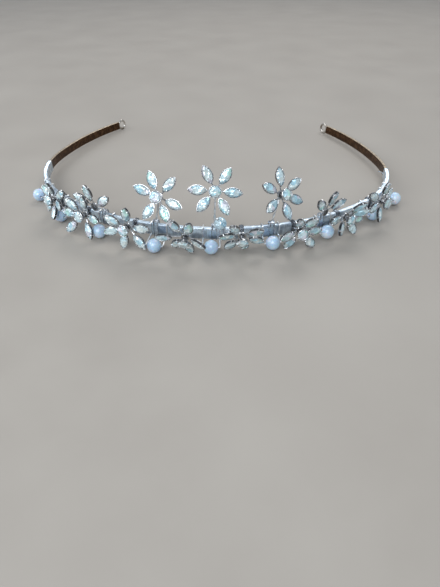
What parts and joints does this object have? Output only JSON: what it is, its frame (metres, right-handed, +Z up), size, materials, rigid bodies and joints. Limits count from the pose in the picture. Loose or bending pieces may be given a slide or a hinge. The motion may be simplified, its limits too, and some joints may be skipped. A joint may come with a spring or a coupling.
{
  "type": "bridal tiara",
  "caption": "Bridal tiara: horseshoe band bound in silver wire, with crystal flowers, pearls and flowers on short wire stalks; end rings take hair grips.",
  "frame": {"origin": "on the resting surface, in the middle of the head opening", "axes": "+Z up, -Y the front of the tiara, +X to the right as seen from the front"},
  "size_m": [0.1441, 0.1233, 0.0276],
  "materials": {
    "band_metal": "aged, warm brown, polished edges",
    "silver_wire": "bright drawn wire",
    "silver_setting": "bright plated, dark in the recesses",
    "crystal": "cut, foil-backed, faint green and pink sheen",
    "pearl": "pearlescent"
  },
  "bodies": {
    "root": {"band": "band_metal", "left_end_ring": "band_metal", "right_end_ring": "band_metal", "wire_wrap": "silver_wire", "wrap_tail": "silver_wire", "flower_bindings": "silver_wire", "garland_setting_1": "silver_setting", "garland_setting_2": "silver_setting", "garland_setting_3": "silver_setting", "garland_setting_4": "silver_setting", "garland_setting_5": "silver_setting", "garland_setting_6": "silver_setting", "garland_setting_7": "silver_setting", "garland_setting_8": "silver_setting", "garland_stones_1": "crystal", "garland_stones_2": "crystal", "garland_stones_3": "crystal", "garland_stones_4": "crystal", "garland_stones_5": "crystal", "garland_stones_6": "crystal", "garland_stones_7": "crystal", "garland_stones_8": "crystal", "pearl_wires": "silver_wire", "centre_bead_pin": "silver_wire", "stalk_bindings": "silver_wire"},
    "pearl_1": {"pearl_1": "pearl"},
    "pearl_2": {"pearl_2": "pearl"},
    "pearl_3": {"pearl_3": "pearl"},
    "pearl_4": {"pearl_4": "pearl"},
    "pearl_5": {"pearl_5": "pearl"},
    "pearl_6": {"pearl_6": "pearl"},
    "pearl_7": {"pearl_7": "pearl"},
    "pearl_8": {"pearl_8": "pearl"},
    "pearl_9": {"pearl_9": "pearl"},
    "centre_bead": {"centre_bead": "crystal"},
    "tall_left_flower": {"tall_left_stalk": "silver_wire", "tall_left_setting": "silver_setting", "tall_left_stones": "crystal"},
    "tall_middle_flower": {"tall_middle_stalk": "silver_wire", "tall_middle_setting": "silver_setting", "tall_middle_stones": "crystal"},
    "tall_right_flower": {"tall_right_stalk": "silver_wire", "tall_right_setting": "silver_setting", "tall_right_stones": "crystal"},
    "short_left_flower": {"short_left_stalk": "silver_wire", "short_left_setting": "silver_setting", "short_left_stones": "crystal"},
    "short_right_flower": {"short_right_stalk": "silver_wire", "short_right_setting": "silver_setting", "short_right_stones": "crystal"}
  },
  "joints": [
    {"name": "tall_left_bend", "type": "hinge", "parent": "root", "child": "tall_left_flower", "pos_m": [-0.01649, -0.05192, 0.00776], "axis": [0.9796, -0.201, 0.0047], "range_deg": [-15, 15]},
    {"name": "tall_middle_bend", "type": "hinge", "parent": "root", "child": "tall_middle_flower", "pos_m": [0.0029, -0.05355, 0.0078], "axis": [0.9994, 0.0353, -0.0008], "range_deg": [-15, 12]},
    {"name": "tall_right_bend", "type": "hinge", "parent": "root", "child": "tall_right_flower", "pos_m": [0.02164, -0.05069, 0.00773], "axis": [0.9645, 0.2638, -0.0062], "range_deg": [-15, 15]},
    {"name": "short_left_bend", "type": "hinge", "parent": "root", "child": "short_left_flower", "pos_m": [-0.03522, -0.04565, 0.00761], "axis": [0.9031, -0.4293, 0.0101], "range_deg": [-15, 3]},
    {"name": "short_right_bend", "type": "hinge", "parent": "root", "child": "short_right_flower", "pos_m": [0.03879, -0.04385, 0.00757], "axis": [0.8811, 0.4729, -0.0111], "range_deg": [-15, 12]},
    {"name": "pearl_1_turn", "type": "hinge", "parent": "root", "child": "pearl_1", "pos_m": [-0.06702, -0.02582, 0.00255], "axis": [0.5575, -0.83, 0.0196], "continuous": true},
    {"name": "pearl_2_turn", "type": "hinge", "parent": "root", "child": "pearl_2", "pos_m": [-0.05365, -0.04071, 0.00255], "axis": [0.7894, -0.6137, 0.0145], "continuous": true},
    {"name": "pearl_3_turn", "type": "hinge", "parent": "root", "child": "pearl_3", "pos_m": [-0.03687, -0.05074, 0.00255], "axis": [0.9062, -0.4227, 0.01], "continuous": true},
    {"name": "pearl_4_turn", "type": "hinge", "parent": "root", "child": "pearl_4", "pos_m": [-0.01661, -0.05855, 0.00255], "axis": [0.9822, -0.1878, 0.0044], "continuous": true},
    {"name": "pearl_5_turn", "type": "hinge", "parent": "root", "child": "pearl_5", "pos_m": [0.00212, -0.0585, 0.00255], "axis": [0.9997, 0.0244, -0.0006], "continuous": true},
    {"name": "pearl_6_turn", "type": "hinge", "parent": "root", "child": "pearl_6", "pos_m": [0.02232, -0.05488, 0.00255], "axis": [0.9658, 0.2591, -0.0061], "continuous": true},
    {"name": "pearl_7_turn", "type": "hinge", "parent": "root", "child": "pearl_7", "pos_m": [0.04113, -0.04702, 0.00255], "axis": [0.8776, 0.4793, -0.0113], "continuous": true},
    {"name": "pearl_8_turn", "type": "hinge", "parent": "root", "child": "pearl_8", "pos_m": [0.05939, -0.03378, 0.00255], "axis": [0.7225, 0.6912, -0.0163], "continuous": true},
    {"name": "pearl_9_turn", "type": "hinge", "parent": "root", "child": "pearl_9", "pos_m": [0.07003, -0.02158, 0.00255], "axis": [0.4699, 0.8825, -0.0208], "continuous": true},
    {"name": "centre_bead_turn", "type": "hinge", "parent": "root", "child": "centre_bead", "pos_m": [0.00503, -0.0557, 0.00985], "axis": [-0.3617, -0.3854, 0.8489], "continuous": true}
  ]
}
